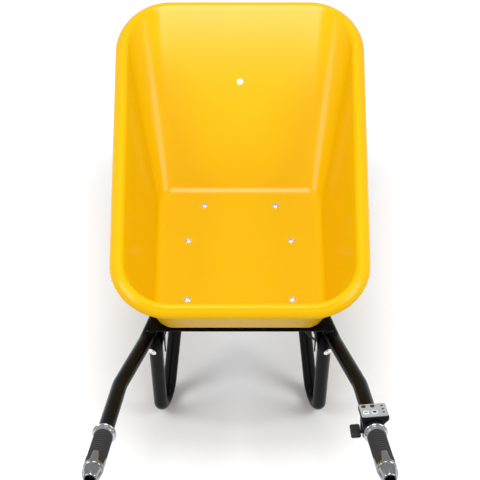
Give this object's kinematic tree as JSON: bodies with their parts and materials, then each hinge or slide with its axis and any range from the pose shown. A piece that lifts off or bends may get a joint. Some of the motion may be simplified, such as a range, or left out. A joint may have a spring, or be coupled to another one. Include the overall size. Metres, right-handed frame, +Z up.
{
  "type": "power-assisted wheelbarrow",
  "caption": "Single-wheel wheelbarrow with a pressed steel tray, bent tube frame, hub-motor wheel, battery box, thumb throttle and switch box.",
  "frame": {"origin": "middle of the overall footprint, on the floor", "axes": "+Y forward, from the grips towards the wheel; +Z up; +X to the right of the person pushing"},
  "size_m": [0.5968, 1.307, 0.6288],
  "materials": {
    "tray_paint": "gloss powder coat",
    "frame_paint": "gloss powder coat",
    "zinc": "bright zinc plate",
    "chrome": "polished",
    "grip_rubber": "moulded, ribbed",
    "tyre_rubber": "matte",
    "cast_aluminium": "satin cast",
    "bearing_steel": "ground",
    "copper_winding": "enamelled",
    "cell_wrap": "shrink wrap",
    "cable_jacket": "smooth jacket",
    "face_plastic": "satin membrane",
    "black_plastic": "fine moulded grain"
  },
  "bodies": {
    "frame": {"tray": "tray_paint", "left_leg_tube": "frame_paint", "right_leg_tube": "frame_paint", "left_handle_tube": "frame_paint", "right_handle_tube": "frame_paint", "control_cable": "cable_jacket", "nose_hoop": "frame_paint", "motor_cable": "cable_jacket", "control_face": "face_plastic", "battery_box": "black_plastic", "control_housing": "black_plastic", "left_grip_collar": "chrome", "right_grip_collar": "chrome", "left_grip_end": "chrome", "right_grip_end": "chrome", "left_grip_rubber": "grip_rubber", "right_grip_rubber": "grip_rubber", "front_tray_bolt_left": "zinc", "front_tray_bolt_right": "zinc", "mid_tray_bolt_left": "zinc", "mid_tray_bolt_right": "zinc", "rear_tray_bolt_left": "zinc", "rear_tray_bolt_right": "zinc", "nose_bolt": "zinc", "motor_stator": "copper_winding", "left_axle_nut": "zinc", "right_axle_nut": "zinc", "control_clamp": "black_plastic", "front_bolt_strap": "frame_paint", "mid_bolt_strap": "frame_paint", "rear_bolt_strap": "frame_paint", "left_axle_bracket": "frame_paint", "right_axle_bracket": "frame_paint", "battery_box_lid": "black_plastic", "left_rail_end_cap": "black_plastic", "right_rail_end_cap": "black_plastic", "control_cable_gland": "black_plastic", "motor_cable_gland": "black_plastic", "left_leg_bolt": "zinc", "right_leg_bolt": "zinc", "charge_port_cap": "grip_rubber", "axle": "bearing_steel", "rear_cross_strap": "frame_paint", "battery_strap": "frame_paint", "left_gusset": "frame_paint", "right_gusset": "frame_paint", "battery_pack": "cell_wrap", "motor_controller": "cast_aluminium"},
    "wheel": {"tyre": "tyre_rubber", "inner_tube": "tyre_rubber", "wheel_rim": "frame_paint", "left_motor_cover": "cast_aluminium", "right_motor_cover": "cast_aluminium", "left_bearing": "bearing_steel", "right_bearing": "bearing_steel"},
    "thumb_lever": {"thumb_lever": "black_plastic"},
    "speed_up_button": {"speed_up_button": "black_plastic"},
    "speed_down_button": {"speed_down_button": "black_plastic"},
    "power_button": {"power_button": "black_plastic"},
    "direction_button": {"direction_button": "black_plastic"}
  },
  "joints": [
    {"name": "wheel_spin", "type": "hinge", "parent": "frame", "child": "wheel", "pos_m": [0, 0.43045, 0.195], "axis": [-1, 0, 0], "continuous": true},
    {"name": "throttle_press", "type": "hinge", "parent": "frame", "child": "thumb_lever", "pos_m": [0.26622, -0.50199, 0.48914], "axis": [0.0787, -0.9023, 0.4239], "range_deg": [0, 40], "stiffness_Nm_per_rad": 0.15, "springref_deg": -20.05},
    {"name": "speed_up_button_press", "type": "slide", "parent": "frame", "child": "speed_up_button", "axis": [0.0368, -0.4223, -0.9057], "range_m": [0, 0.0015], "stiffness_N_per_m": 500, "springref_m": -0.0005},
    {"name": "speed_down_button_press", "type": "slide", "parent": "frame", "child": "speed_down_button", "axis": [0.0368, -0.4223, -0.9057], "range_m": [0, 0.0015], "stiffness_N_per_m": 500, "springref_m": -0.0005},
    {"name": "power_button_press", "type": "slide", "parent": "frame", "child": "power_button", "axis": [0.0368, -0.4223, -0.9057], "range_m": [0, 0.0015], "stiffness_N_per_m": 500, "springref_m": -0.0005},
    {"name": "direction_button_press", "type": "slide", "parent": "frame", "child": "direction_button", "axis": [0.0368, -0.4223, -0.9057], "range_m": [0, 0.0015], "stiffness_N_per_m": 500, "springref_m": -0.0005}
  ]
}
